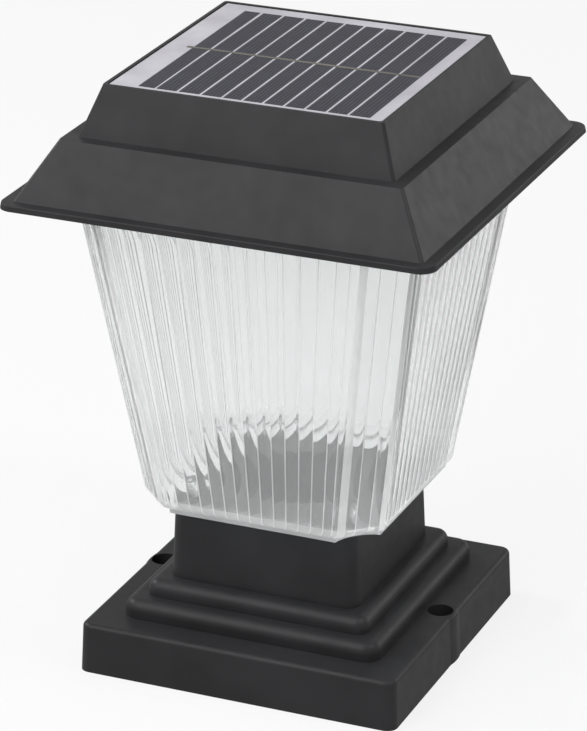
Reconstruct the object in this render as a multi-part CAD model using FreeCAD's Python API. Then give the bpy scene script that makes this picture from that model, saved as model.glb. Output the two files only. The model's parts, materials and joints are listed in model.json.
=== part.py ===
import FreeCAD, Part
import math
import os

os.makedirs("parts", exist_ok=True)

# Deck post cap light. Millimetres, +Z up, origin at the middle of the skirt's bottom.
# "half" is half the width of a square, measured from the light's axis.

# ---- clearances
running_gap = 0.05
seat_gap = 0.3
part_gap = 0.4

# ---- base moulding, from the neck outward and down
neck_top_half = 40.0
neck_lean = 1.2              # how far each side leans in on its way up
neck_height = 33.0
neck_corner = 5.5
upper_roll_width = 7.3       # from the neck's foot
upper_roll_height = 6.8
upper_roll_corner = 5.2
lower_roll_width = 7.5       # from the upper roll
lower_roll_height = 7.6
lower_roll_corner = 6.5
roll_round = 4.4
flange_width = 12.6          # from the lower roll to the skirt's top edge
skirt_lean = 0.8
skirt_height = 21.2
skirt_corner = 4.5
skirt_edge_round = 2.0
base_wall = 2.5
spigot_radius = 26.2         # round boss on the neck that centres the lens
spigot_height = 2.0

post_screw_inset = 6.3       # from the skirt's top edge in to the screw's axis
post_screw_recess_radius = 5.4
post_screw_boss_wall = 0.7   # round the recess
post_screw_pad_radius = 24.0 # the skirt's side swells a little beside each recess
post_screw_pad_rise = 0.6
post_screw_hole_radius = 2.25
post_screw_floor = 4.0

post_rib_half = 45.2         # the ribs' tips take a post of 90 mm
post_rib_thickness = 2.0
post_rib_spacing = 60.0

# ---- lens shade
lens_height = 140.5
lens_floor = 2.0
lens_wall = 2.2
lens_inset = 6.2             # from the tray's edge in to the lens's rim
lens_top_cut = 15.1          # corner facets, as the leg of the cut
foot_overhang = 10.0         # beyond the neck's top
foot_height = 2.2
foot_cut = 14.0
foot_hollow = 2.6            # depth of the hollow across each cut corner
hem_overhang = 2.3           # beyond the foot, where the fluted wall begins
hem_height = 4.3
hem_cut = 12.7
side_pitches = 15            # flutes a side, with the two at its ends narrower
end_flute_share = 0.75       # where the end flutes' groove lies, in pitches
facet_flutes = 3
flute_depth = 0.45
corner_rib = 1.5             # half the width of the round rib on each corner
lens_screw_inset = 6.5       # from the neck's top edge in to the screw's axis
lens_boss_radius = 3.6
lens_boss_height = 7.0

# ---- solar panel
panel_tape_thickness = 0.8
panel_tape_width = 8.0
panel_tape_inset = 1.0
panel_backing_thickness = 1.6
panel_cover_thickness = 0.15
# The strips were laid by hand: each step is from one gap's middle to the next.
cell_steps = (7.95, 9.4, 9.7, 9.0, 8.4, 8.6, 8.7, 8.7, 8.9, 8.8, 9.45)
cell_gap = 1.1
cell_thickness = 0.1
cells_left_border = 11.2     # from the panel's edge to the first strip
cells_right_border = 5.5
cells_front_border = 2.45
cells_back_border = 6.95
askew_cell_turn = 0.3        # degrees, of the first strip
ribbon_width = 1.7
ribbon_thickness = 0.1
ribbon_overhang = 2.6        # beyond the first cell

# ---- roof shell, from the panel outward and down
panel_gap = 0.5              # between the panel and its well's side
rim_width = 1.4
upper_slope_run = 7.4
upper_slope_height = 20.1
ledge_width = 5.5
lower_slope_run = 13.8
lower_slope_height = 22.9
shelf_width = 4.8            # the flat between the slope's foot and the lip's edge
lip_lean = 0.4
lip_height = 2.4
lip_corner = 6.5
lip_edge_round = 0.5
lip_drop = 5.6               # the lip's bottom edge is this far below the tray
hip_round = 1.4
inner_corner = 0.4
roof_wall = 2.5              # measured level
roof_ledge_thickness = 2.2
well_depth = 2.75
well_floor = 2.0
roof_boss_radius = 3.6

# ---- inner tray
tray_thickness = 2.4
tray_corner = 6.0
tray_screw_clear = 3.75      # from the lens's corner facet out to the screw's axis, level
gasket_thickness = 1.2
gasket_fit = 0.2             # between the gasket and the locating rim
locating_rim_depth = 9.0
locating_rim_wall = 1.8
rim_fit = 0.5                # between the locating rim and the lens
screw_pad_radius = 5.2
screw_pad_height = 2.0

# ---- screws
screw_radius = 1.3
screw_head_radius = 2.8
screw_head_height = 1.8
screw_head_round = 0.7
screw_tip_radius = 0.5
screw_length = 9.0
screw_slot_width = 0.8
screw_slot_depth = 0.5
board_screw_radius = 0.9
board_screw_head_radius = 1.8
board_screw_head_height = 1.3
board_screw_length = 4.0

# ---- battery, its bay and its door
battery_radius = 9.2
battery_length = 65.0
battery_edge_round = 0.6
battery_cap_radius = 3.2
battery_cap_height = 1.5
battery_y = 31.0
battery_side_gap = 2.4
battery_top_gap = 2.2
spring_room = 6.9
bay_wall = 1.6
contact_thickness = 0.4
contact_width = 12.0
contact_height = 14.0
contact_tail_length = 4.5
contact_tail_width = 3.0
spring_radius = 4.0
spring_wire_radius = 0.4
spring_turns = 3
door_gap = 0.3
door_pin_radius = 0.7
door_pin_length = 1.2
door_notch_radius = 4.0

# ---- controller board and switch
board_length = 52.0
board_width = 30.0
board_thickness = 1.6
board_y = -34.0
board_stand = 5.6            # above the tray's top
board_post_radius = 2.6
board_post_inset = 3.6
chip_x = -13.0
chip_length = 5.0
chip_width = 4.0
chip_height = 1.5
chip_edge_round = 0.3
choke_x = 6.5
choke_radius = 4.0
choke_height = 5.5
choke_waist = 3.0
choke_flange = 1.0
capacitor_inset = 8.7         # from the board's end in to the capacitors' axes
capacitor_radius = 3.2
capacitor_height = 7.0
capacitor_edge_round = 0.5
capacitor_spacing = 9.0
switch_length = 9.0
switch_width = 5.0
switch_clear = 0.6           # between the switch body and the tray
knob_length = 3.2
knob_width = 2.4
knob_reach = 1.4             # below the tray
knob_rise = 2.8              # into the switch body
knob_travel = 3.0
knob_side_gap = 0.4

# ---- lamp
led_board_radius = 16.0
led_board_thickness = 1.6
led_count = 4
led_ring_radius = 8.5
led_side = 5.0
led_height = 0.8
led_window_radius = 1.8
led_window_depth = 0.2
lamp_collar_wall = 1.7
lamp_collar_depth = 6.0
diffuser_wall = 1.4
diffuser_bulge = 5.5

# ---- leads
lead_radius = 0.7
lead_spacing = 4.0
lead_hole_radius = 4.0
lead_edge_inset = 3.0        # from the board's edge in to where a lead lands
lead_landing = 10.0          # each lead comes down onto the board from this height
panel_lead_y = -26.0
panel_lead_x = 8.7           # where the panel's leads land
panel_lead_drop = 9.0
lamp_lead_y = -8.0
lamp_lead_x = 18.0
lamp_lead_rise = 16.0
battery_lead_x = 23.0
battery_lead_inset = 1.5     # from the end of the contact's tail
battery_lead_rise = 8.0
battery_lead_sag = 4.0
battery_lead_run = 26.0
sealant_radius = 6.0
sealant_foot_radius = 3.6
sealant_height = 3.0


def point(x, y, z):
    return FreeCAD.Vector(x, y, z)


UP = point(0, 0, 1)
same_height = 1e-4


def box(low, high):
    """A box between two corners."""
    return Part.makeBox(high[0] - low[0], high[1] - low[1], high[2] - low[2], point(*low))


def rod(radius, low, length, x=0.0, y=0.0):
    """An upright round bar."""
    return Part.makeCylinder(radius, length, point(x, y, low))


def rounded_square(half, corner, z):
    """A square outline with round corners, seen from above."""
    flat = half - corner
    swing = corner * math.sqrt(0.5)
    edges = []
    for quarter in range(4):
        turn = FreeCAD.Rotation(UP, 90 * quarter)
        start = turn.multVec(point(-flat, -half, z))
        end = turn.multVec(point(flat, -half, z))
        middle = turn.multVec(point(flat + swing, -flat - swing, z))
        after = turn.multVec(point(half, -flat, z))
        edges.append(Part.LineSegment(start, end).toShape())
        edges.append(Part.Arc(end, middle, after).toShape())
    return Part.Wire(edges)


def octagon_corners(half, cut_leg, z):
    """Corners of a square with its four corners cut off."""
    flat = half - cut_leg
    corners = []
    for quarter in range(4):
        turn = FreeCAD.Rotation(UP, 90 * quarter)
        corners.append(turn.multVec(point(-flat, -half, z)))
        corners.append(turn.multVec(point(flat, -half, z)))
    return corners


def octagon(half, cut_leg, z):
    corners = octagon_corners(half, cut_leg, z)
    return Part.makePolygon(corners + corners[:1])


def flute_marks(side, is_facet):
    """Where the grooves between flutes lie along a side, from corner rib to corner rib."""
    if is_facet:
        grooves = [side * step / facet_flutes for step in range(1, facet_flutes)]
    else:
        pitch = side / side_pitches
        grooves = [pitch * (step + 0.5) for step in range(1, side_pitches - 1)]
        grooves = [pitch * end_flute_share] + grooves + [side - pitch * end_flute_share]
    return [corner_rib] + grooves + [side - corner_rib]


def fluted_octagon(half, cut_leg, z, depth):
    """The lens's outline: round flutes on each side and a round rib on each corner."""
    corners = octagon_corners(half, cut_leg, z)
    edges = []
    for index, start in enumerate(corners):
        end = corners[(index + 1) % len(corners)]
        beyond = corners[(index + 2) % len(corners)]
        along = (end - start).normalize()
        outward = along.cross(UP)
        marks = flute_marks((end - start).Length, index % 2 == 1)
        for near, far in zip(marks, marks[1:]):
            crest = start + along * ((near + far) / 2) + outward * depth
            edges.append(Part.Arc(start + along * near, crest, start + along * far).toShape())
        turned = (beyond - end).normalize()
        edges.append(Part.Arc(end - along * corner_rib, end, end + turned * corner_rib).toShape())
    return Part.Wire(edges)


def loft(*wires):
    return Part.makeLoft(list(wires), True, True)


def slab(wire, height):
    """A flat outline, pushed straight up."""
    return Part.Face(wire).extrude(UP * height)


def level_edges(solid, z):
    """Every edge that lies wholly at height z."""
    return [edge for edge in solid.Edges
            if abs(edge.BoundBox.ZMin - z) < same_height and abs(edge.BoundBox.ZMax - z) < same_height]


def round_level(solid, z, radius):
    """Round every edge that lies wholly at height z."""
    return solid.makeFillet(radius, level_edges(solid, z))


def corners_of(offset):
    """The four places at one distance from both axes."""
    return [(side * offset, end * offset) for side in (-1, 1) for end in (-1, 1)]


def group(solids):
    return Part.makeCompound(list(solids))


def fuse(first, *others):
    return first.multiFuse(list(others)).removeSplitter()


def cut(shape, *tools):
    return shape.cut(list(tools))


def pan_screw(x, y, seat_z, radius, head_radius, head_height, length):
    """A slotted pan-head screw that points up, its head under seat_z."""
    head_z = seat_z - head_height
    head = rod(head_radius, head_z, head_height, x, y)
    head = head.makeFillet(screw_head_round, level_edges(head, head_z))
    tip_length = radius
    tip = Part.makeCone(radius, screw_tip_radius, tip_length, point(x, y, seat_z + length - tip_length))
    shank = rod(radius, seat_z, length - tip_length, x, y)
    slot = box((x - head_radius, y - screw_slot_width / 2, head_z),
               (x + head_radius, y + screw_slot_width / 2, head_z + screw_slot_depth))
    return cut(fuse(head, shank, tip), slot)


def lead(points, radius):
    """A wire of straight runs joined by arcs, each as large as its two runs allow."""
    edges = []
    here = points[0]
    for before, corner, after in zip(points, points[1:], points[2:]):
        arriving = (corner - before).normalize()
        leaving = (after - corner).normalize()
        turn = arriving.getAngle(leaving)
        setback = 0.45 * min((corner - before).Length, (after - corner).Length)
        bend = setback / math.tan(turn / 2)
        inward = (leaving - arriving).normalize()
        start = corner - arriving * setback
        end = corner + leaving * setback
        crown = corner + inward * (bend / math.cos(turn / 2) - bend)
        edges.append(Part.LineSegment(here, start).toShape())
        edges.append(Part.Arc(start, crown, end).toShape())
        here = end
    edges.append(Part.LineSegment(here, points[-1]).toShape())
    path = Part.Wire(edges)
    heading = (points[1] - points[0]).normalize()
    section = Part.Wire(Part.Circle(points[0], heading, radius).toShape())
    return path.makePipeShell([section], True, False)


# ---- places that several pieces share
neck_foot_half = neck_top_half + neck_lean
upper_roll_half = neck_foot_half + upper_roll_width
lower_roll_half = upper_roll_half + lower_roll_width
skirt_top_half = lower_roll_half + flange_width
skirt_half = skirt_top_half + skirt_lean
lower_roll_z = skirt_height
upper_roll_z = lower_roll_z + lower_roll_height
neck_foot_z = upper_roll_z + upper_roll_height
neck_top_z = neck_foot_z + neck_height
post_screw_offset = skirt_top_half - post_screw_inset
post_screw_boss_radius = post_screw_recess_radius + post_screw_boss_wall
lens_screw_offset = neck_top_half - lens_screw_inset

foot_half = neck_top_half + foot_overhang
hem_half = foot_half + hem_overhang
hem_foot_cut = foot_cut + foot_hollow
lens_floor_z = neck_top_z + lens_floor
hem_z = neck_top_z + foot_height
wall_z = hem_z + hem_height
lens_top_z = neck_top_z + lens_height

panel_half = (cells_left_border + sum(cell_steps) - cell_gap + cells_right_border) / 2
well_half = panel_half + panel_gap
rim_half = well_half + rim_width
upper_slope_half = rim_half + upper_slope_run
ledge_half = upper_slope_half + ledge_width
lower_slope_half = ledge_half + lower_slope_run
lip_top_half = lower_slope_half + shelf_width
lip_half = lip_top_half + lip_lean
mouth_half = lower_slope_half - roof_wall

tray_z = lens_top_z + gasket_thickness + seat_gap
tray_top_z = tray_z + tray_thickness
lip_bottom_z = tray_z - lip_drop
lip_top_z = lip_bottom_z + lip_height
ledge_z = lip_top_z + lower_slope_height
rim_z = ledge_z + upper_slope_height
well_z = rim_z - well_depth
well_under_z = well_z - well_floor
panel_back_z = well_z + panel_tape_thickness
panel_face_z = panel_back_z + panel_backing_thickness

lower_slope_lean = lower_slope_run / lower_slope_height
upper_slope_lean = upper_slope_run / upper_slope_height
tray_half = mouth_half - lower_slope_lean * (tray_top_z - lip_top_z) - seat_gap
lens_top_half = tray_half - lens_inset
tray_screw_offset = lens_top_half - lens_top_cut / 2 + tray_screw_clear
screw_pad_z = tray_top_z + screw_pad_height
screw_seat_z = tray_top_z

bay_half_length = (battery_length + spring_room + 2 * contact_thickness + seat_gap) / 2
bay_half_width = battery_radius + battery_side_gap
battery_z = tray_top_z + part_gap + battery_radius
bay_top_z = battery_z + battery_radius + battery_top_gap
battery_right = bay_half_length - contact_thickness - seat_gap
contact_tail_z = battery_z + contact_height / 2 - contact_thickness
hinge_y = battery_y + bay_half_width - door_gap - tray_thickness / 2
hinge_z = tray_z + tray_thickness / 2
board_z = tray_top_z + board_stand
board_top_z = board_z + board_thickness
board_edge_y = board_y + board_width / 2 - lead_edge_inset


def lens_half_at(z):
    """Half width of the lens's outside at height z."""
    share = (z - wall_z) / (lens_top_z - wall_z)
    return hem_half + (lens_top_half - hem_half) * share


def lens_cut_at(z):
    share = (z - wall_z) / (lens_top_z - wall_z)
    return hem_cut + (lens_top_cut - hem_cut) * share


def inside_cut(cut_leg, wall):
    """The corner cut of an outline moved inward by a wall."""
    return cut_leg - wall * (2 - math.sqrt(2))


def post_screw_pad(side):
    """The shallow swelling of the skirt's side beside a recess, which leans with the skirt."""
    place = skirt_top_half + post_screw_pad_rise - post_screw_pad_radius
    return Part.makeCone(post_screw_pad_radius + skirt_lean, post_screw_pad_radius, skirt_height,
                         point(side * place, 0, 0))


def base_moulding():
    skirt = loft(rounded_square(skirt_half, skirt_corner, 0),
                 rounded_square(skirt_top_half, skirt_corner, skirt_height))
    skirt = fuse(skirt, post_screw_pad(-1), post_screw_pad(1))
    skirt = round_level(skirt, skirt_height, skirt_edge_round)
    lower = slab(rounded_square(lower_roll_half, lower_roll_corner, lower_roll_z), lower_roll_height)
    lower = round_level(lower, upper_roll_z, roll_round)
    upper = slab(rounded_square(upper_roll_half, upper_roll_corner, upper_roll_z), upper_roll_height)
    upper = round_level(upper, neck_foot_z, roll_round)
    neck = loft(rounded_square(neck_foot_half, neck_corner, neck_foot_z),
                rounded_square(neck_top_half, neck_corner, neck_top_z))
    spigot = rod(spigot_radius, neck_top_z, spigot_height)
    body = fuse(skirt, lower, upper, neck, spigot)

    ceiling_z = skirt_height - base_wall
    hollow = [
        loft(rounded_square(skirt_half - base_wall, skirt_corner - base_wall, 0),
             rounded_square(skirt_top_half - base_wall, skirt_corner - base_wall, ceiling_z)),
        slab(rounded_square(lower_roll_half - base_wall, lower_roll_corner - base_wall, 0),
             upper_roll_z - base_wall),
        slab(rounded_square(upper_roll_half - base_wall, upper_roll_corner - base_wall, 0),
             neck_foot_z - base_wall),
        loft(rounded_square(neck_foot_half - base_wall, neck_corner - base_wall, 0),
             rounded_square(neck_top_half - base_wall, neck_corner - base_wall,
                            neck_top_z - base_wall)),
    ]
    body = cut(body, fuse(*hollow))

    into_wall = base_wall / 2
    ribs = []
    for quarter in range(4):
        for place in (-post_rib_spacing / 2, post_rib_spacing / 2):
            rib = box((post_rib_half, place - post_rib_thickness / 2, 0),
                      (skirt_top_half - into_wall, place + post_rib_thickness / 2,
                       ceiling_z + into_wall))
            rib.rotate(point(0, 0, 0), UP, 90 * quarter)
            ribs.append(rib)
    inner_bosses = [rod(post_screw_boss_radius, 0, ceiling_z + into_wall, side * post_screw_offset)
                    for side in (-1, 1)]
    body = fuse(body, *ribs, *inner_bosses)

    holes = []
    for side in (-1, 1):
        x = side * post_screw_offset
        holes.append(rod(post_screw_recess_radius, post_screw_floor, skirt_height, x))
        holes.append(rod(post_screw_hole_radius, 0, skirt_height, x))
    for x, y in corners_of(lens_screw_offset):
        holes.append(rod(screw_radius + seat_gap, neck_top_z - base_wall, base_wall, x, y))
    return cut(body, *holes)


def hollow_cornered_square(half, cut_leg, depth, z):
    """A square outline with a shallow hollow across each cut corner."""
    flat = half - cut_leg
    deepest = half - cut_leg / 2 - depth * math.sqrt(0.5)
    edges = []
    for quarter in range(4):
        turn = FreeCAD.Rotation(UP, 90 * quarter)
        start = turn.multVec(point(-flat, -half, z))
        end = turn.multVec(point(flat, -half, z))
        middle = turn.multVec(point(deepest, -deepest, z))
        after = turn.multVec(point(half, -flat, z))
        edges.append(Part.LineSegment(start, end).toShape())
        edges.append(Part.Arc(end, middle, after).toShape())
    return Part.Wire(edges)


def lens_shade():
    foot = slab(hollow_cornered_square(foot_half, foot_cut, foot_hollow, neck_top_z), foot_height)
    hem = loft(fluted_octagon(foot_half, hem_foot_cut, hem_z, flute_depth),
               fluted_octagon(foot_half + hem_overhang * math.sqrt(0.5),
                              hem_foot_cut + (hem_cut - hem_foot_cut) * math.sqrt(0.5),
                              hem_z + hem_height * (1 - math.sqrt(0.5)), flute_depth),
               fluted_octagon(hem_half, hem_cut, wall_z, flute_depth))
    wall = loft(fluted_octagon(hem_half, hem_cut, wall_z, flute_depth),
                fluted_octagon(lens_top_half, lens_top_cut, lens_top_z, flute_depth))
    body = fuse(foot, hem, wall)

    floor_cut = foot_cut + math.sqrt(2) * (foot_hollow + lens_wall) - 2 * lens_wall
    low = octagon(foot_half - lens_wall, floor_cut, lens_floor_z)
    middle = octagon(hem_half - lens_wall, inside_cut(hem_cut, lens_wall), wall_z)
    high = octagon(lens_top_half - lens_wall, inside_cut(lens_top_cut, lens_wall), lens_top_z)
    body = cut(body, loft(low, middle), loft(middle, high))

    boss_rise = lens_floor + lens_boss_height
    bosses = [rod(lens_boss_radius, neck_top_z, boss_rise, x, y)
              for x, y in corners_of(lens_screw_offset)]
    pilots = [rod(screw_radius + running_gap, neck_top_z, screw_length, x, y)
              for x, y in corners_of(lens_screw_offset)]
    opening = rod(spigot_radius + seat_gap, neck_top_z, lens_floor)
    return cut(fuse(body, *bosses), opening, *pilots)


def lens_screws():
    seat = neck_top_z - base_wall
    return group(pan_screw(x, y, seat, screw_radius, screw_head_radius, screw_head_height,
                           screw_length) for x, y in corners_of(lens_screw_offset))


def roof_outside():
    lip = loft(rounded_square(lip_half, lip_corner, lip_bottom_z),
               rounded_square(lip_top_half, lip_corner, lip_top_z))
    lip = round_level(lip, lip_top_z, lip_edge_round)
    lower = loft(rounded_square(lower_slope_half, hip_round, lip_top_z),
                 rounded_square(ledge_half, hip_round, ledge_z))
    upper = loft(rounded_square(upper_slope_half, hip_round, ledge_z),
                 rounded_square(rim_half, hip_round, rim_z))
    return fuse(lip, lower, upper)


def roof_shell():
    ledge_under_z = ledge_z - roof_ledge_thickness
    ceiling_half = mouth_half - lower_slope_lean * (ledge_under_z - lip_top_z)
    loft_half = upper_slope_half - roof_wall
    loft_top_half = loft_half - upper_slope_lean * (well_under_z - ledge_z)
    hollow = fuse(
        slab(rounded_square(mouth_half, inner_corner, lip_bottom_z), lip_top_z - lip_bottom_z),
        loft(rounded_square(mouth_half, inner_corner, lip_top_z),
             rounded_square(ceiling_half, inner_corner, ledge_under_z)),
        loft(rounded_square(loft_half, inner_corner, ledge_under_z),
             rounded_square(loft_top_half, inner_corner, well_under_z)),
    )
    well = slab(rounded_square(well_half, hip_round, well_z), well_depth)
    outside = roof_outside()
    shell = cut(outside, hollow, well)

    posts = [rod(roof_boss_radius, screw_pad_z, ledge_z - screw_pad_z, x, y)
             for x, y in corners_of(tray_screw_offset)]
    shell = fuse(shell, *[post.common(outside) for post in posts])
    pilots = [rod(screw_radius + running_gap, screw_pad_z, screw_length, x, y)
              for x, y in corners_of(tray_screw_offset)]
    lead_hole = rod(lead_hole_radius, well_under_z, well_floor, 0, panel_lead_y)
    return cut(shell, lead_hole, *pilots)


def panel_tape():
    outer_half = panel_half - panel_tape_inset
    return cut(slab(rounded_square(outer_half, hip_round, well_z), panel_tape_thickness),
               slab(rounded_square(outer_half - panel_tape_width, hip_round, well_z),
                    panel_tape_thickness))


def panel_backing():
    return slab(rounded_square(panel_half, inner_corner, panel_back_z), panel_backing_thickness)


def solar_cells():
    """Dark strips that run front to back."""
    cells = []
    left = cells_left_border - panel_half
    for step in cell_steps:
        cells.append(box((left, cells_front_border - panel_half, panel_face_z),
                         (left + step - cell_gap, panel_half - cells_back_border,
                          panel_face_z + cell_thickness)))
        left += step
    cells[0].rotate(cells[0].CenterOfMass, UP, askew_cell_turn)
    return group(cells)


def ribbon_y():
    return (cells_front_border - cells_back_border) / 2


def bus_ribbon():
    first = cells_left_border - panel_half
    last = first + sum(cell_steps) - cell_gap
    low = panel_face_z + cell_thickness
    return box((first - ribbon_overhang, ribbon_y() - ribbon_width / 2, low),
               (last, ribbon_y() + ribbon_width / 2, low + ribbon_thickness))


def panel_cover():
    """The clear sheet that lies on the ribbon and the cells."""
    low = panel_face_z + cell_thickness + ribbon_thickness
    return slab(rounded_square(panel_half, inner_corner, low), panel_cover_thickness)


def lead_places():
    """Where the two panel leads leave the panel's back."""
    return [(-lead_spacing / 2, panel_lead_y), (lead_spacing / 2, panel_lead_y)]


def lead_sealant():
    bottom = well_under_z - sealant_height
    blob = Part.makeCone(sealant_foot_radius, sealant_radius, sealant_height,
                         point(0, panel_lead_y, bottom))
    bores = [rod(lead_radius, bottom, sealant_height, x, y) for x, y in lead_places()]
    return cut(blob, *bores)


locating_rim_z = tray_z - locating_rim_depth
locating_rim_half = lens_half_at(locating_rim_z) - lens_wall - rim_fit


def inner_tray():
    plate = slab(rounded_square(tray_half, tray_corner, tray_z), tray_thickness)
    rim_cut = inside_cut(lens_cut_at(locating_rim_z), lens_wall + rim_fit)
    rim_inner_cut = inside_cut(rim_cut, locating_rim_wall)
    locating_rim = cut(
        slab(octagon(locating_rim_half, rim_cut, locating_rim_z), locating_rim_depth),
        slab(octagon(locating_rim_half - locating_rim_wall, rim_inner_cut, locating_rim_z),
             locating_rim_depth))
    pads = [rod(screw_pad_radius, tray_z, screw_pad_z - tray_z, x, y)
            for x, y in corners_of(tray_screw_offset)]
    bay_low = (-bay_half_length - bay_wall, battery_y - bay_half_width - bay_wall, tray_z)
    bay_high = (bay_half_length + bay_wall, battery_y + bay_half_width + bay_wall,
                bay_top_z + bay_wall)
    posts = [rod(board_post_radius, tray_z, board_z - tray_z, x, y) for x, y in board_holes()]
    collar = rod(led_board_radius + part_gap + lamp_collar_wall, tray_z - lamp_collar_depth,
                 lamp_collar_depth)
    body = fuse(plate, locating_rim, box(bay_low, bay_high), collar, *pads, *posts)

    removed = [box((-bay_half_length, battery_y - bay_half_width, tray_z),
                   (bay_half_length, battery_y + bay_half_width, bay_top_z))]
    removed.append(rod(led_board_radius + part_gap, tray_z - lamp_collar_depth, lamp_collar_depth))
    for x, y in corners_of(tray_screw_offset):
        removed.append(rod(screw_head_radius + part_gap, tray_z, screw_seat_z - tray_z, x, y))
        removed.append(rod(screw_radius + seat_gap, screw_seat_z, screw_pad_height, x, y))
    for x, y in board_holes():
        removed.append(rod(board_screw_radius + running_gap, board_z - board_screw_length,
                           board_screw_length, x, y))
    slot_half = (knob_length + knob_travel) / 2 + knob_side_gap
    removed.append(box((-slot_half, board_y - knob_width / 2 - knob_side_gap, tray_z),
                       (slot_half, board_y + knob_width / 2 + knob_side_gap, tray_top_z)))
    for x, y in led_lead_places():
        removed.append(rod(lead_radius + seat_gap, tray_z, tray_thickness, x, y))
    for side in (-1, 1):
        reach = bay_half_length + door_pin_length + seat_gap
        socket = Part.makeCylinder(door_pin_radius + running_gap, reach,
                                   point(0, hinge_y, hinge_z), point(side, 0, 0))
        removed.append(socket)
        tail = sorted((side * bay_half_length, side * (bay_half_length + bay_wall)))
        removed.append(box((tail[0], battery_y - contact_tail_width / 2 - running_gap,
                            contact_tail_z - running_gap),
                           (tail[1], battery_y + contact_tail_width / 2 + running_gap,
                            contact_tail_z + contact_thickness + running_gap)))
    return cut(body, *removed)


def tray_screws():
    return group(pan_screw(x, y, screw_seat_z, screw_radius, screw_head_radius,
                           screw_head_height, screw_length)
                 for x, y in corners_of(tray_screw_offset))


def lens_gasket():
    """A foam ring over the lens's rim, stuck to the tray outside the locating rim."""
    low = tray_z - gasket_thickness
    outer_half = lens_top_half + flute_depth + seat_gap
    inner_half = locating_rim_half + gasket_fit
    outer_cut = inside_cut(lens_top_cut, -seat_gap)
    inner_cut = inside_cut(outer_cut, outer_half - inner_half)
    return cut(slab(octagon(outer_half, outer_cut, low), gasket_thickness),
               slab(octagon(inner_half, inner_cut, low), gasket_thickness))


def board_holes():
    half_length = board_length / 2 - board_post_inset
    half_width = board_width / 2 - board_post_inset
    return [(side * half_length, board_y + end * half_width)
            for side in (-1, 1) for end in (-1, 1)]


def controller_board():
    board = box((-board_length / 2, board_y - board_width / 2, board_z),
                (board_length / 2, board_y + board_width / 2, board_top_z))
    holes = [rod(board_screw_radius + seat_gap, board_z, board_thickness, x, y)
             for x, y in board_holes()]
    return cut(board, *holes)


def board_screws():
    """Small screws, heads up, through the board into the tray's posts."""
    screws = []
    for x, y in board_holes():
        screw = pan_screw(x, y, 0, board_screw_radius, board_screw_head_radius,
                          board_screw_head_height, board_screw_length)
        screw.rotate(point(x, y, 0), point(1, 0, 0), 180)
        screw.translate(UP * board_top_z)
        screws.append(screw)
    return group(screws)


def controller_chip():
    body = box((chip_x - chip_length / 2, board_y - chip_width / 2, board_top_z),
               (chip_x + chip_length / 2, board_y + chip_width / 2, board_top_z + chip_height))
    return round_level(body, board_top_z + chip_height, chip_edge_round)


def choke_coil():
    """A drum core, waisted where its winding lies."""
    upper_z = board_top_z + choke_height - choke_flange
    return fuse(rod(choke_radius, board_top_z, choke_flange, choke_x, board_y),
                rod(choke_waist, board_top_z, choke_height, choke_x, board_y),
                rod(choke_radius, upper_z, choke_flange, choke_x, board_y))


def board_capacitors():
    x = board_length / 2 - capacitor_inset
    cans = []
    for step in (0, 1):
        y = board_y - capacitor_spacing / 2 + step * capacitor_spacing
        can = rod(capacitor_radius, board_top_z, capacitor_height, x, y)
        cans.append(round_level(can, board_top_z + capacitor_height, capacitor_edge_round))
    return group(cans)


def switch_body():
    """Hangs under the board, over the slot in the tray."""
    low = tray_top_z + switch_clear
    body = box((-switch_length / 2, board_y - switch_width / 2, low),
               (switch_length / 2, board_y + switch_width / 2, board_z))
    slot_half = (knob_length + knob_travel) / 2 + knob_side_gap
    room = box((-slot_half, board_y - knob_width / 2 - knob_side_gap, low),
               (slot_half, board_y + knob_width / 2 + knob_side_gap, low + knob_rise + seat_gap))
    return cut(body, room)


def switch_knob():
    """The slider, shown at its off end."""
    low = tray_z - knob_reach
    high = tray_top_z + switch_clear + knob_rise
    left = -(knob_length + knob_travel) / 2
    knob = box((left, board_y - knob_width / 2, low),
               (left + knob_length, board_y + knob_width / 2, high))
    return round_level(knob, low, knob_side_gap)


def led_board():
    return rod(led_board_radius, tray_z - led_board_thickness, led_board_thickness)


def led_emitters():
    """Square lamps in a ring on the board's underside, each with a round window."""
    high = tray_z - led_board_thickness
    emitters = []
    for index in range(led_count):
        angle = 2 * math.pi * (index + 0.5) / led_count
        x = led_ring_radius * math.cos(angle)
        y = led_ring_radius * math.sin(angle)
        body = box((x - led_side / 2, y - led_side / 2, high - led_height),
                   (x + led_side / 2, y + led_side / 2, high))
        dish = rod(led_window_radius, high - led_height, led_window_depth, x, y)
        emitters.append(cut(body, dish))
    return group(emitters)


def led_lead_places():
    return [(-lead_spacing / 2, lamp_lead_y), (lead_spacing / 2, lamp_lead_y)]


def shallow_dome(radius, bulge, bottom, top):
    """A round bar whose lower end bulges down as part of a ball."""
    ball = (radius ** 2 + bulge ** 2) / (2 * bulge)
    return rod(radius, bottom, top - bottom).common(
        Part.makeSphere(ball, point(0, 0, bottom + ball)))


def led_diffuser():
    """A shallow frosted dome, pressed into the collar under the lamps."""
    radius = led_board_radius + part_gap - running_gap
    high = tray_z - led_board_thickness - seat_gap
    bottom = tray_z - lamp_collar_depth - diffuser_bulge
    return cut(shallow_dome(radius, diffuser_bulge, bottom, high),
               shallow_dome(radius - diffuser_wall, diffuser_bulge, bottom + diffuser_wall, high))


def battery_cell():
    left = battery_right - battery_length
    can_length = battery_length - battery_cap_height
    along = point(1, 0, 0)
    can = Part.makeCylinder(battery_radius, can_length, point(left, battery_y, battery_z), along)
    can = can.makeFillet(battery_edge_round,
                         [edge for edge in can.Edges if edge.BoundBox.XLength < same_height])
    cap = Part.makeCylinder(battery_cap_radius, battery_cap_height,
                            point(left + can_length, battery_y, battery_z), along)
    return fuse(can, cap)


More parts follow.
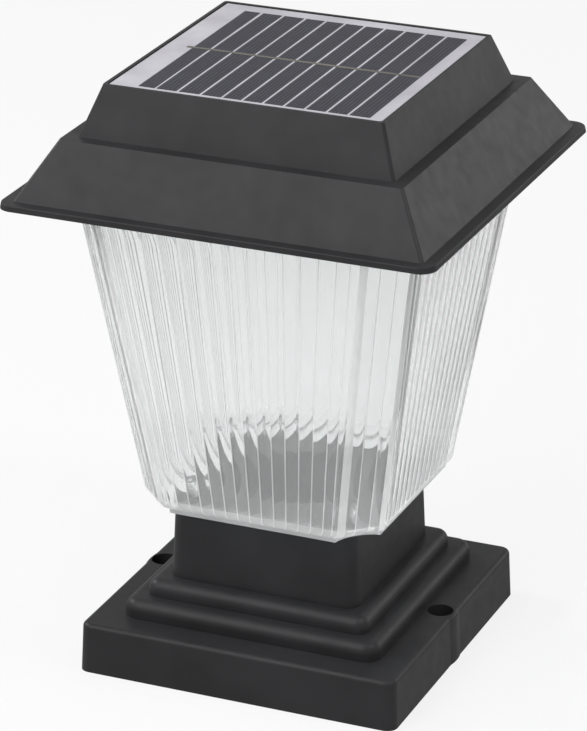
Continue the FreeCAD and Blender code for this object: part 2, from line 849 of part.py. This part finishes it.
def battery_contact(side):
    """A plate inside the bay's end wall, with a tail that passes out through it."""
    plate = sorted((side * bay_half_length, side * (bay_half_length - contact_thickness)))
    tail = sorted((side * (bay_half_length - contact_thickness),
                   side * (bay_half_length + contact_tail_length)))
    body = box((plate[0], battery_y - contact_width / 2, battery_z - contact_height / 2),
               (plate[1], battery_y + contact_width / 2, battery_z + contact_height / 2))
    tongue = box((tail[0], battery_y - contact_tail_width / 2, contact_tail_z),
                 (tail[1], battery_y + contact_tail_width / 2,
                  contact_tail_z + contact_thickness))
    return fuse(body, tongue)


def battery_spring():
    """A coil between the negative contact and the battery, closed to a flat end."""
    left = -bay_half_length + contact_thickness + spring_wire_radius
    right = battery_right - battery_length - spring_wire_radius - seat_gap
    quarters = 4 * spring_turns

    def on_coil(share):
        angle = 2 * math.pi * spring_turns * share
        return point(left + (right - left) * share,
                     battery_y + spring_radius * math.cos(angle),
                     battery_z + spring_radius * math.sin(angle))

    arcs = []
    for step in range(quarters):
        arcs.append(Part.Arc(on_coil(step / quarters), on_coil((step + 0.5) / quarters),
                             on_coil((step + 1) / quarters)).toShape())
    path = Part.Wire(arcs)
    rise = (right - left) / (2 * math.pi * spring_turns)
    heading = point(rise, 0, spring_radius)
    section = Part.Wire(Part.Circle(on_coil(0), heading, spring_wire_radius).toShape())
    return path.makePipeShell([section], True, False)


def battery_door():
    """Hinged on two pins at its outer edge, with a finger notch at the other."""
    half_length = bay_half_length - door_gap
    near = battery_y - bay_half_width + door_gap
    plate = box((-half_length, near, tray_z), (half_length, hinge_y, tray_top_z))
    knuckle = Part.makeCylinder(tray_thickness / 2, 2 * half_length,
                                point(-half_length, hinge_y, hinge_z), point(1, 0, 0))
    pin_half = half_length + door_gap + door_pin_length
    pins = Part.makeCylinder(door_pin_radius, 2 * pin_half,
                             point(-pin_half, hinge_y, hinge_z), point(1, 0, 0))
    notch = rod(door_notch_radius, tray_z, tray_thickness / 2, 0, near)
    return cut(fuse(plate, knuckle, pins), notch)


def panel_lead(index):
    """From the panel's back, through the sealant, down to the board."""
    x, y = lead_places()[index]
    end_x = panel_lead_x if index else -panel_lead_x
    return lead([
        point(x, y, panel_back_z),
        point(x, y, well_under_z - panel_lead_drop),
        point(end_x, board_edge_y, board_top_z + lead_landing),
        point(end_x, board_edge_y, board_top_z),
    ], lead_radius)


def led_lead(index):
    """From the board over the tray and down onto the lamp's board."""
    x, y = led_lead_places()[index]
    end_x = lamp_lead_x if index else -lamp_lead_x
    return lead([
        point(x, y, tray_z),
        point(x, y, tray_top_z + lamp_lead_rise),
        point(end_x, board_edge_y, board_top_z + lead_landing),
        point(end_x, board_edge_y, board_top_z),
    ], lead_radius)


def battery_lead(side):
    """From a contact's tail, over the tray, to the board."""
    x = side * (bay_half_length + contact_tail_length - battery_lead_inset)
    tail_top = contact_tail_z + contact_thickness
    end_x = side * battery_lead_x
    return lead([
        point(x, battery_y, tail_top),
        point(x, battery_y, tail_top + battery_lead_rise),
        point(x, battery_y - battery_lead_run, tail_top + battery_lead_sag),
        point(end_x, board_y, board_top_z + lead_landing),
        point(end_x, board_y, board_top_z),
    ], lead_radius)


pieces = {
    "base_moulding": base_moulding(),
    "lens_shade": lens_shade(),
    "lens_screws": lens_screws(),
    "roof_shell": roof_shell(),
    "panel_tape": panel_tape(),
    "panel_backing": panel_backing(),
    "solar_cells": solar_cells(),
    "bus_ribbon": bus_ribbon(),
    "panel_cover": panel_cover(),
    "lead_sealant": lead_sealant(),
    "inner_tray": inner_tray(),
    "tray_screws": tray_screws(),
    "lens_gasket": lens_gasket(),
    "controller_board": controller_board(),
    "board_screws": board_screws(),
    "controller_chip": controller_chip(),
    "choke_coil": choke_coil(),
    "board_capacitors": board_capacitors(),
    "switch_body": switch_body(),
    "switch_knob": switch_knob(),
    "led_board": led_board(),
    "led_emitters": led_emitters(),
    "led_diffuser": led_diffuser(),
    "battery_cell": battery_cell(),
    "positive_contact": battery_contact(1),
    "negative_contact": battery_contact(-1),
    "battery_spring": battery_spring(),
    "battery_door": battery_door(),
    "panel_lead_red": panel_lead(1),
    "panel_lead_black": panel_lead(0),
    "led_lead_red": led_lead(1),
    "led_lead_black": led_lead(0),
    "battery_lead_red": battery_lead(1),
    "battery_lead_black": battery_lead(-1),
}

for name, shape in pieces.items():
    shape.exportStep("parts/" + name + ".step")
    print(name, len(shape.Solids), "solids,", round(shape.Volume, 1), "mm3,",
          "sound" if shape.isValid() else "NOT VALID")
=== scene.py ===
"""The looks of the deck post cap light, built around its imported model. Lengths are millimetres times MM."""

import json
import math

import bpy
from mathutils import Euler, Matrix, Vector

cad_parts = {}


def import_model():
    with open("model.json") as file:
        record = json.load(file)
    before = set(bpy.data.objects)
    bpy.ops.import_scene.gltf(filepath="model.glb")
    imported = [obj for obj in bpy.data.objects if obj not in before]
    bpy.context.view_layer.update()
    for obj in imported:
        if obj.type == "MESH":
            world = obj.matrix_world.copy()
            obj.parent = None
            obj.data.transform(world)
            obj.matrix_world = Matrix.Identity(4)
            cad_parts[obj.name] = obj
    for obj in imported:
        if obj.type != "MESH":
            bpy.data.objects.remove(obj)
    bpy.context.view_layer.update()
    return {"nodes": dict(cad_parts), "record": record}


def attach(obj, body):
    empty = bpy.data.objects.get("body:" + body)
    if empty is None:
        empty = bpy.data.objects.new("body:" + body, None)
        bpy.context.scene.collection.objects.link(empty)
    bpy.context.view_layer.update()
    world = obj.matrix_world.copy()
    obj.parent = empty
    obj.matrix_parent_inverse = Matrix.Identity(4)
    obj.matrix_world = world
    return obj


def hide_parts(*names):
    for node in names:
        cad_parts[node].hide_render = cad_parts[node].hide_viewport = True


MM = 0.001
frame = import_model()

# ---- the view: where the photograph was taken from
camera_place = Vector((564.5, -1336.0, 727.1)) * MM
camera_turn = 23.02          # degrees, to the right of the front
camera_tilt = 22.72          # degrees, downward
camera_lens = 190.7
camera_sensor = 36           # along the longer side

# ---- lens shade, as in the model
foot_half = 50.0
foot_bottom = 68.6
foot_top = 70.8
foot_cut = 14.0
foot_hollow = 2.6
floor_top = 70.6
spigot_opening = 26.5
wall_bottom = 75.1
wall_bottom_half = 52.3
wall_bottom_cut = 12.7
wall_top = 209.1
wall_top_half = 72.825
wall_top_cut = 15.1
wall_thickness = 2.2
rim_round_outside = 0.5
rim_round_inside = 0.4
foot_edge_round = 0.3
foot_wall_extra = 1.2        # the foot's wall is this much thicker than the lens's
side_pitches = 15
end_flute_share = 0.75
facet_flutes = 3
flute_depth = 0.45
corner_rib = 1.5
flute_steps = 8              # faces across one flute
wall_steps = 8               # rows of faces up the wall
hem_shares = (0.2, 0.4, 0.6, 0.8)            # rings of the cove from the foot out to the wall
inner_cove_shares = (0.3, 0.6, 0.85, 1.0)    # and of the cove inside it
groove_half = 0.24           # half the width of the painted highlight line along each groove
boss_place = 33.5
boss_radius = 3.6
boss_top = 77.6
boss_into_floor = 0.5
pilot_radius = 1.35
pilot_clearance = 1.0        # past the floor's underside, and short of the boss's top

# ---- solar cells, as in the model
panel_half = 56.6
cell_steps = (7.95, 9.4, 9.7, 9.0, 8.4, 8.6, 8.7, 8.7, 8.9, 8.8, 9.45)
cell_gap = 1.1
cells_left = 11.2 - panel_half
cells_front = 2.45 - panel_half
cells_back = panel_half - 6.95
cell_top = 250.15
finger_count = 5             # silver lines on each strip
finger_width = 0.16
finger_height = 0.03         # above the cells, and as far into them
finger_inset = 0.3

smooth_angle = 35            # degrees: sharper edges stay sharp
bar_sides = 32

# ---- the stage
floor_half = 6.0
floor_seen_white = 0.8       # the share of plain white in the floor as the camera sees it
floor_mirrored = 0.38        # the floor's brightness in reflections
world_strength = 0.45
aim_height = 0.15            # what the lamps point at


# ------------------------------------------------------------------ meshes

def put(name, verts, faces, material, body):
    """A new piece from points in millimetres."""
    mesh = bpy.data.meshes.new(name)
    mesh.from_pydata([Vector(v) * MM for v in verts], [], faces)
    mesh.materials.append(material)
    mesh.shade_smooth()
    mesh.set_sharp_from_angle(angle=math.radians(smooth_angle))
    piece = bpy.data.objects.new(name, mesh)
    bpy.context.scene.collection.objects.link(piece)
    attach(piece, body)
    return piece


def octagon_corners(half, cut, z):
    """Corners of a square with its four corners cut off, from the front left."""
    flat = half - cut
    corners = []
    for quarter in range(4):
        turn = Matrix.Rotation(math.radians(90 * quarter), 3, "Z")
        corners.append(turn @ Vector((-flat, -half, z)))
        corners.append(turn @ Vector((flat, -half, z)))
    return corners


def flute_marks(side, is_facet):
    """Where the grooves between flutes lie along a side, from corner rib to corner rib."""
    if is_facet:
        grooves = [side * step / facet_flutes for step in range(1, facet_flutes)]
    else:
        pitch = side / side_pitches
        grooves = [pitch * (step + 0.5) for step in range(1, side_pitches - 1)]
        grooves = [pitch * end_flute_share] + grooves + [side - pitch * end_flute_share]
    return [corner_rib] + grooves + [side - corner_rib]


def flute_stations(side, is_facet):
    """(distance along a side, share of the flute's depth, lies on a groove) from rib to rib."""
    marks = flute_marks(side, is_facet)
    stations = []
    for near, far in zip(marks, marks[1:]):
        width = far - near
        stations.append((near, 0.0, True))
        for step in range(flute_steps + 1):
            here = groove_half + (width - 2 * groove_half) * step / flute_steps
            share = here / width
            stations.append((near + here, 4 * share * (1 - share), step == flute_steps))
    stations.append((side - corner_rib, 0.0, True))
    return stations


def fluted_ring(half, cut, z, depth):
    """The lens's outline, with a note for each point whether the face after it carries the painted highlight
    line.
    """
    corners = octagon_corners(half, cut, z)
    ring = []
    lines = []
    for index, start in enumerate(corners):
        end = corners[(index + 1) % 8]
        after = corners[(index + 2) % 8]
        along = (end - start).normalized()
        outward = along.cross(Vector((0, 0, 1)))
        for distance, share, is_line in flute_stations((end - start).length, index % 2 == 1):
            ring.append(start + along * distance + outward * (depth * share))
            lines.append(is_line)
        onward = (after - end).normalized()
        rib_start = end - along * corner_rib
        rib_end = end + onward * corner_rib
        bulge = end - (rib_start + rib_end) / 2
        for step in range(1, flute_steps):
            share = step / flute_steps
            ring.append(rib_start.lerp(rib_end, share) + bulge * (4 * share * (1 - share)))
            lines.append(True)
    return ring, lines


def foot_ring(half, z, blend=0.0, above=None):
    """The foot's outline, its corners hollow, blended toward the ring above it."""
    plain, _ = fluted_ring(half, foot_cut, z, 0)
    middle = half - foot_cut / 2
    chord = foot_cut * math.sqrt(2)
    on_corner = 0.01
    ring = []
    for index, p in enumerate(plain):
        corner = Vector((math.copysign(middle, p.x), math.copysign(middle, p.y), z))
        inward = Vector((-math.copysign(1, p.x), -math.copysign(1, p.y), 0)).normalized()
        across = Vector((inward.y, -inward.x, 0))
        where = (p - corner).dot(across) / (chord / 2)
        behind = (p - corner).dot(inward)
        if abs(where) < 1 and behind < on_corner:
            p = p + inward * (foot_hollow * (1 - where * where) - max(0.0, -behind))
        ring.append(p.lerp(above[index], blend) if above else p)
        ring[-1].z = z
    return ring


def round_ring(radius, z, like):
    return [Vector((p.x, p.y, 0)).normalized() * radius + Vector((0, 0, z)) for p in like]


def ring_faces(count, rings, closed):
    faces = []
    for level in range(rings if closed else rings - 1):
        low = level * count
        high = ((level + 1) % rings) * count
        for i in range(count):
            j = (i + 1) % count
            faces.append((low + i, low + j, high + j, high + i))
    return faces


def inside_cut(cut, wall):
    return cut - wall * (2 - math.sqrt(2))


def wall_half_at(z):
    share = (z - wall_bottom) / (wall_top - wall_bottom)
    return wall_bottom_half + (wall_top_half - wall_bottom_half) * share


def wall_cut_at(z):
    share = (z - wall_bottom) / (wall_top - wall_bottom)
    return wall_bottom_cut + (wall_top_cut - wall_bottom_cut) * share


def wall_ring(z, depth, inset=0.0):
    return fluted_ring(wall_half_at(z) - inset, inside_cut(wall_cut_at(z), inset), z, depth)[0]


def lens_rings():
    """Rings from the foot's bottom, up the outside, down the inside and in to the opening.

    With each ring goes the finish of the faces above it: 0 the clear wall, 1 the foot's edge, 2 the hem."""
    edge = foot_edge_round
    rings = []
    first = wall_ring(wall_bottom, flute_depth)

    def add(ring, finish):
        rings.append((ring, finish))

    add(foot_ring(foot_half - edge, foot_bottom), 1)
    add(foot_ring(foot_half, foot_bottom + edge), 1)
    add(foot_ring(foot_half, foot_top - edge), 2)
    add(foot_ring(foot_half - edge / 2, foot_top), 2)
    for share in hem_shares:
        turn = share * math.pi / 2
        z = foot_top + (wall_bottom - foot_top) * (1 - math.cos(turn))
        add(foot_ring(foot_half, z, math.sin(turn), first), 2)
    top = wall_top - rim_round_outside
    for step in range(wall_steps + 1):
        add(wall_ring(wall_bottom + (top - wall_bottom) * step / wall_steps, flute_depth), 0)
    add(wall_ring(wall_top, 0, rim_round_outside), 0)
    add(wall_ring(wall_top, 0, wall_thickness - rim_round_inside), 0)
    for step in range(wall_steps + 1):
        add(wall_ring(top - (top - wall_bottom) * step / wall_steps, 0, wall_thickness), 0)
    bottom_cut = foot_cut + math.sqrt(2) * (foot_hollow + wall_thickness) - 2 * wall_thickness
    inner_foot = foot_half - wall_thickness - foot_wall_extra
    inner_wall = wall_bottom_half - wall_thickness
    inner_cut = inside_cut(wall_bottom_cut, wall_thickness)
    for share in inner_cove_shares:
        turn = share * math.pi / 2
        in_share = 1 - math.cos(turn)
        z = wall_bottom - (wall_bottom - floor_top) * math.sin(turn)
        add(fluted_ring(inner_wall + (inner_foot - inner_wall) * in_share,
                        inner_cut + (bottom_cut - inner_cut) * in_share, z, 0)[0], 0)
    add(round_ring(spigot_opening, floor_top, first), 0)
    add(round_ring(spigot_opening, foot_bottom, first), 0)
    return rings


def upright_bar(radius, low, high, x, y):
    """An upright round bar as points and faces."""
    count = bar_sides
    verts = []
    for z in (low, high):
        verts += [(x + radius * math.cos(2 * math.pi * i / count),
                   y + radius * math.sin(2 * math.pi * i / count), z) for i in range(count)]
    faces = ring_faces(count, 2, False)
    faces.append(tuple(range(count - 1, -1, -1)))
    faces.append(tuple(range(count, 2 * count)))
    return verts, faces


def lens_shade():
    """The clear lens, with painted highlight lines (a milkier finish along its grooves and ribs) and bosses
    on its floor.
    """
    rings = lens_rings()
    lines = fluted_ring(wall_bottom_half, wall_bottom_cut, wall_bottom, flute_depth)[1]
    count = len(lines)
    verts = [p for ring, _ in rings for p in ring]
    piece = put("lens_shade_clear", verts, ring_faces(count, len(rings), True),
                FINISHES["clear_lens"], "base")
    for name in ("lens_painted_highlight", "lens_foot", "lens_hem"):
        piece.data.materials.append(FINISHES[name])
    foot_rings = 4
    last_outside = foot_rings + len(hem_shares) + wall_steps
    for face in piece.data.polygons:
        level, place = divmod(face.index, count)
        finish = rings[level][1]
        # faces along the grooves and corner ribs take the milkier finish: a painted highlight in place of the
        # bright refraction along them
        if finish != 1 and level < last_outside and lines[place]:
            face.material_index = 1
        elif finish:
            face.material_index = finish + 1
    for x in (-boss_place, boss_place):
        for y in (-boss_place, boss_place):
            boss = upright_bar(boss_radius, floor_top - boss_into_floor, boss_top, x, y)
            join_solid(piece, boss, "UNION")
    for x in (-boss_place, boss_place):
        for y in (-boss_place, boss_place):
            pilot = upright_bar(pilot_radius, foot_bottom - pilot_clearance,
                                boss_top - pilot_clearance, x, y)
            join_solid(piece, pilot, "DIFFERENCE")
    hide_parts("lens_shade")


def solar_fingers():
    """The fine silver lines printed along each strip."""
    verts = []
    faces = []
    front = cells_front + finger_inset
    back = cells_back - finger_inset
    left = cells_left
    for step in cell_steps:
        width = step - cell_gap
        for index in range(finger_count):
            x = left + width * (index + 0.5) / finger_count
            first = len(verts)
            near, far = x - finger_width / 2, x + finger_width / 2
            for z in (cell_top - finger_height, cell_top + finger_height):
                verts += [(near, front, z), (far, front, z), (far, back, z), (near, back, z)]
            faces += [tuple(first + i for i in face) for face in
                      ((3, 2, 1, 0), (4, 5, 6, 7), (0, 1, 5, 4), (1, 2, 6, 5), (2, 3, 7, 6), (3, 0, 4, 7))]
        left += step
    put("solar_fingers", verts, faces, FINISHES["silver_print"], "head")


def join_solid(piece, shape, operation):
    """Adds or cuts a closed shape, and keeps the result as the piece's own mesh."""
    verts, faces = shape
    mesh = bpy.data.meshes.new("cutter")
    mesh.from_pydata([Vector(v) * MM for v in verts], [], faces)
    cutter = bpy.data.objects.new("cutter", mesh)
    bpy.context.scene.collection.objects.link(cutter)
    modifier = piece.modifiers.new("joined", "BOOLEAN")
    modifier.operation = operation
    modifier.object = cutter
    modifier.solver = "EXACT"
    result = bpy.data.meshes.new_from_object(piece.evaluated_get(bpy.context.evaluated_depsgraph_get()))
    piece.modifiers.clear()
    piece.data = result
    result.shade_smooth()
    result.set_sharp_from_angle(angle=math.radians(smooth_angle))
    bpy.data.objects.remove(cutter)


# ------------------------------------------------------------------ materials

class Finish:
    """A node material with one Principled shader, and short calls to add to it."""

    def __init__(self, name):
        self.material = bpy.data.materials.new(name)
        self.material.use_nodes = True
        self.nodes = self.material.node_tree.nodes
        self.links = self.material.node_tree.links
        self.shader = self.nodes["Principled BSDF"]
        self.output = self.nodes["Material Output"]
        self.place = self.node("ShaderNodeTexCoord").outputs["Object"]

    def node(self, kind, **values):
        made = self.nodes.new(kind)
        for key, value in values.items():
            setattr(made, key, value)
        return made

    def link(self, start, end):
        self.links.new(start, end)

    def noise(self, size_mm, detail):
        """Noise whose features are about size_mm across."""
        made = self.node("ShaderNodeTexNoise")
        made.inputs["Scale"].default_value = 1 / (size_mm * MM)
        made.inputs["Detail"].default_value = detail
        self.link(self.place, made.inputs["Vector"])
        return made.outputs["Fac"]

    def ramp(self, value, low, high, first, second):
        """Maps a value from low..high to first..second."""
        made = self.node("ShaderNodeMapRange")
        for name, number in (("From Min", low), ("From Max", high), ("To Min", first), ("To Max", second)):
            made.inputs[name].default_value = number
        self.link(value, made.inputs["Value"])
        return made.outputs["Result"]

    def mix(self, share, first, second):
        """Mixes two colours."""
        made = self.node("ShaderNodeMix", data_type="RGBA")
        self.link(share, made.inputs["Factor"])
        for socket, value in ((made.inputs[6], first), (made.inputs[7], second)):
            if isinstance(value, tuple):
                socket.default_value = (*value, 1)
            else:
                self.link(value, socket)
        return made.outputs[2]

    def bump(self, height, strength, distance_mm):
        """Fine relief from a value."""
        made = self.node("ShaderNodeBump")
        made.inputs["Strength"].default_value = strength
        made.inputs["Distance"].default_value = distance_mm * MM
        self.link(height, made.inputs["Height"])
        self.link(made.outputs["Normal"], self.shader.inputs["Normal"])


def moulded_plastic(name, colour, roughness, specular, grain_mm, dust=0.0):
    """Moulded plastic: fine grain, faint mottling and a few specks of dust."""
    f = Finish(name)
    cloud = f.noise(28, 3)
    light = tuple(min(1.0, c * 1.14) for c in colour)
    dark = tuple(c * 0.88 for c in colour)
    base = f.mix(f.ramp(cloud, 0.35, 0.65, 0, 1), dark, light)
    if dust:
        specks = f.node("ShaderNodeTexVoronoi", feature="F1")
        specks.inputs["Scale"].default_value = 1 / (11 * MM)
        f.link(f.place, specks.inputs["Vector"])
        size = f.ramp(f.noise(9, 1), 0.5, 0.75, 0.0, 0.022)
        near = f.node("ShaderNodeMath", operation="LESS_THAN")
        f.link(specks.outputs["Distance"], near.inputs[0])
        f.link(size, near.inputs[1])
        base = f.mix(near.outputs[0], base, (dust, dust, dust * 0.95))
    f.link(base, f.shader.inputs["Base Color"])
    f.link(f.ramp(f.noise(6, 3), 0.3, 0.7, roughness - 0.04, roughness + 0.04), f.shader.inputs["Roughness"])
    f.shader.inputs["Specular IOR Level"].default_value = specular
    f.bump(f.noise(grain_mm, 2), 0.25, 0.02)
    return f.material


def clear_lens(name, veil_share, milk_colour, roughness):
    """Clear plastic under a thin milky veil, which lets lamps through."""
    f = Finish(name)
    f.shader.inputs["Base Color"].default_value = (0.99, 1, 1, 1)
    f.shader.inputs["Transmission Weight"].default_value = 1.0
    f.shader.inputs["IOR"].default_value = 1.49
    f.link(f.ramp(f.noise(14, 3), 0.3, 0.7, roughness, roughness + 0.03), f.shader.inputs["Roughness"])
    milk = f.node("ShaderNodeBsdfDiffuse")
    milk.inputs["Color"].default_value = (*milk_colour, 1)
    through = f.node("ShaderNodeBsdfTranslucent")
    through.inputs["Color"].default_value = (*milk_colour, 1)
    both = f.node("ShaderNodeMixShader")
    both.inputs[0].default_value = 0.5
    f.link(milk.outputs[0], both.inputs[1])
    f.link(through.outputs[0], both.inputs[2])
    veil = f.node("ShaderNodeMixShader")
    f.link(f.ramp(f.noise(20, 2), 0.3, 0.7, veil_share * 0.92, veil_share * 1.08), veil.inputs[0])
    f.link(f.shader.outputs[0], veil.inputs[1])
    f.link(both.outputs[0], veil.inputs[2])
    lamps = f.node("ShaderNodeLightPath")
    open_way = f.node("ShaderNodeBsdfTransparent")
    open_way.inputs["Color"].default_value = (0.9, 0.91, 0.91, 1)
    last = f.node("ShaderNodeMixShader")
    f.link(lamps.outputs["Is Shadow Ray"], last.inputs[0])
    f.link(veil.outputs[0], last.inputs[1])
    f.link(open_way.outputs[0], last.inputs[2])
    f.link(last.outputs[0], f.output.inputs["Surface"])
    return f.material


def clear_cover():
    """The clear sheet over the cells: a see-through surface with gloss."""
    f = Finish("clear_resin")
    f.shader.inputs["Base Color"].default_value = (0.03, 0.03, 0.03, 1)
    f.link(f.ramp(f.noise(12, 2), 0.3, 0.7, 0.12, 0.2), f.shader.inputs["Roughness"])
    f.shader.inputs["Alpha"].default_value = 0.06
    f.bump(f.noise(5, 2), 0.1, 0.05)
    return f.material


def solar_cell():
    """Slate silicon, a little bluer in places, under its own glaze."""
    f = Finish("solar_cell")
    grain = f.noise(7, 4)
    base = f.mix(f.ramp(grain, 0.35, 0.65, 0, 1), (0.030, 0.030, 0.044), (0.036, 0.036, 0.052))
    f.link(base, f.shader.inputs["Base Color"])
    f.shader.inputs["Roughness"].default_value = 0.4
    f.shader.inputs["Specular IOR Level"].default_value = 0.25
    f.bump(f.noise(0.5, 2), 0.1, 0.01)
    return f.material


def metal(name, colour, roughness, size_mm=2.0):
    """Bare metal, duller in places."""
    f = Finish(name)
    dull = tuple(c * 0.8 for c in colour)
    f.link(f.mix(f.noise(size_mm, 3), dull, colour), f.shader.inputs["Base Color"])
    f.shader.inputs["Metallic"].default_value = 1.0
    f.link(f.ramp(f.noise(size_mm / 2, 2), 0.3, 0.7, roughness - 0.06, roughness + 0.08),
           f.shader.inputs["Roughness"])
    f.bump(f.noise(size_mm / 3, 2), 0.1, 0.02)
    return f.material


FINISHES = {
    "black_plastic": moulded_plastic("black_plastic", (0.027, 0.027, 0.029), 0.42, 0.25, 0.35, 0.25),
    "clear_lens": clear_lens("clear_lens", 0.14, (0.95, 0.96, 0.96), 0.0),
    # painted highlight: a milkier, whiter veil that stands in for the bright refraction along the grooves and
    # ribs
    "lens_painted_highlight": clear_lens("lens_painted_highlight", 0.6, (1.0, 1.0, 1.0), 0.05),
    "lens_foot": clear_lens("lens_foot", 0.5, (0.9, 0.91, 0.91), 0.03),
    "lens_hem": clear_lens("lens_hem", 0.42, (1.0, 1.0, 1.0), 0.05),
    "white_board": moulded_plastic("white_board", (0.66, 0.645, 0.70), 0.4, 0.4, 0.8),
    "solar_cell": solar_cell(),
    "clear_resin": clear_cover(),
    "tinned_ribbon": moulded_plastic("tinned_ribbon", (0.20, 0.19, 0.165), 0.6, 0.3, 0.5),
    "silver_print": moulded_plastic("silver_print", (0.16, 0.16, 0.19), 0.5, 0.4, 0.5),
    "screw_steel": metal("screw_steel", (0.6, 0.6, 0.6), 0.3),
    "foam": moulded_plastic("foam", (0.03, 0.03, 0.03), 0.9, 0.2, 0.8),
    "circuit_board": moulded_plastic("circuit_board", (0.03, 0.16, 0.07), 0.35, 0.5, 1.2),
    "lamp_board": moulded_plastic("lamp_board", (0.75, 0.75, 0.73), 0.35, 0.5, 1.2),
    "chip_resin": moulded_plastic("chip_resin", (0.02, 0.02, 0.02), 0.55, 0.4, 0.3),
    "ferrite": moulded_plastic("ferrite", (0.05, 0.05, 0.05), 0.6, 0.4, 0.5),
    "capacitor_can": metal("capacitor_can", (0.62, 0.63, 0.65), 0.35, 1.5),
    "lamp_resin": moulded_plastic("lamp_resin", (0.75, 0.6, 0.2), 0.3, 0.5, 0.5),
    "frosted_plastic": moulded_plastic("frosted_plastic", (0.8, 0.8, 0.79), 0.5, 0.4, 0.6),
    "battery_wrap": moulded_plastic("battery_wrap", (0.05, 0.16, 0.36), 0.3, 0.5, 3.0),
    "spring_nickel": metal("spring_nickel", (0.62, 0.6, 0.55), 0.25, 1.0),
    "red_insulation": moulded_plastic("red_insulation", (0.42, 0.02, 0.02), 0.4, 0.4, 0.6),
    "black_insulation": moulded_plastic("black_insulation", (0.02, 0.02, 0.02), 0.4, 0.4, 0.6),
    "sealant": moulded_plastic("sealant", (0.6, 0.6, 0.57), 0.35, 0.4, 1.5),
}


def dress_nodes():
    """Each carried-over node gets the finish of its slot."""
    for part in frame["record"]["subparts"]:
        mesh = frame["nodes"][part["node"]].data
        mesh.materials.clear()
        mesh.materials.append(FINISHES[part["material_slot"]])


# ------------------------------------------------------------------ stage

def floor():
    """The pale floor: near white to the camera, white through the lens, dimmer in reflections."""
    mesh = bpy.data.meshes.new("floor")
    size = floor_half
    mesh.from_pydata([(-size, -size, 0), (size, -size, 0), (size, size, 0), (-size, size, 0)], [],
                     [(0, 1, 2, 3)])
    piece = bpy.data.objects.new("floor", mesh)
    bpy.context.scene.collection.objects.link(piece)
    f = Finish("floor")
    f.shader.inputs["Base Color"].default_value = (0.85, 0.85, 0.85, 1)
    f.shader.inputs["Roughness"].default_value = 0.9
    path = f.node("ShaderNodeLightPath")
    white = f.node("ShaderNodeEmission")
    white.inputs["Color"].default_value = (1, 1, 1, 1)
    camera_seen = f.node("ShaderNodeMath", operation="MULTIPLY")
    camera_seen.inputs[1].default_value = floor_seen_white
    f.link(path.outputs["Is Camera Ray"], camera_seen.inputs[0])
    seen = f.node("ShaderNodeMath", operation="MAXIMUM")
    f.link(camera_seen.outputs[0], seen.inputs[0])
    f.link(path.outputs["Is Transmission Ray"], seen.inputs[1])
    both = f.node("ShaderNodeMixShader")
    f.link(seen.outputs[0], both.inputs[0])
    f.link(f.shader.outputs[0], both.inputs[1])
    f.link(white.outputs[0], both.inputs[2])
    dim = f.node("ShaderNodeEmission")
    dim.inputs["Color"].default_value = (1, 1, 1, 1)
    dim.inputs["Strength"].default_value = floor_mirrored
    mirrored = f.node("ShaderNodeMixShader")
    glossy_only = f.node("ShaderNodeMath", operation="SUBTRACT", use_clamp=True)
    f.link(path.outputs["Is Glossy Ray"], glossy_only.inputs[0])
    f.link(path.outputs["Is Transmission Ray"], glossy_only.inputs[1])
    f.link(glossy_only.outputs[0], mirrored.inputs[0])
    f.link(both.outputs[0], mirrored.inputs[1])
    f.link(dim.outputs[0], mirrored.inputs[2])
    f.link(mirrored.outputs[0], f.output.inputs["Surface"])
    mesh.materials.append(f.material)


def world():
    """Soft grey light all round, which the camera and the lens's refracted rays see as white."""
    made = bpy.data.worlds.new("studio")
    bpy.context.scene.world = made
    made.use_nodes = True
    nodes = made.node_tree.nodes
    grey = nodes["Background"]
    grey.inputs["Color"].default_value = (1, 1, 1, 1)
    grey.inputs["Strength"].default_value = world_strength
    white = nodes.new("ShaderNodeBackground")
    white.inputs["Color"].default_value = (1, 1, 1, 1)
    white.inputs["Strength"].default_value = 1
    path = nodes.new("ShaderNodeLightPath")
    seen = nodes.new("ShaderNodeMath")
    seen.operation = "MAXIMUM"
    both = nodes.new("ShaderNodeMixShader")
    link = made.node_tree.links.new
    link(path.outputs["Is Camera Ray"], seen.inputs[0])
    link(path.outputs["Is Transmission Ray"], seen.inputs[1])
    link(seen.outputs[0], both.inputs[0])
    link(grey.outputs[0], both.inputs[1])
    link(white.outputs[0], both.inputs[2])
    link(both.outputs[0], nodes["World Output"].inputs["Surface"])


def lamp(name, place, size, power):
    """A softbox that points at the middle of the light."""
    light = bpy.data.lights.new(name, "AREA")
    light.shape = "RECTANGLE"
    light.size, light.size_y = size
    light.energy = power
    piece = bpy.data.objects.new(name, light)
    piece.location = place
    middle = Vector((0, 0, aim_height))
    piece.rotation_euler = (middle - Vector(place)).to_track_quat("-Z", "Y").to_euler()
    bpy.context.scene.collection.objects.link(piece)


def from_front(turn, rise, distance):
    """A place seen from the light: turn to the right of the front and rise, in degrees."""
    level = distance * math.cos(math.radians(rise))
    return (level * math.sin(math.radians(turn)), -level * math.cos(math.radians(turn)),
            aim_height + distance * math.sin(math.radians(rise)))


def lights():
    lamp("front_softbox", from_front(-27, 44, 1.0), (0.65, 1.0), 4.9)
    lamp("left_lamp", from_front(-92, 33, 1.8), (0.2, 0.2), 10)
    lamp("right_lamp", from_front(82, 54, 1.8), (0.3, 0.3), 6)
    lamp("back_softbox", from_front(150, 9, 2.0), (1.2, 0.55), 3.0)


def camera():
    data = bpy.data.cameras.new("camera")
    data.lens = camera_lens
    data.sensor_width = camera_sensor
    piece = bpy.data.objects.new("camera", data)
    piece.location = camera_place
    piece.rotation_euler = Euler((math.radians(90 - camera_tilt), 0, math.radians(camera_turn)))
    bpy.context.scene.collection.objects.link(piece)
    bpy.context.scene.camera = piece


bpy.context.scene.view_settings.view_transform = "Standard"
dress_nodes()
lens_shade()
solar_fingers()
camera()
floor()
world()
lights()
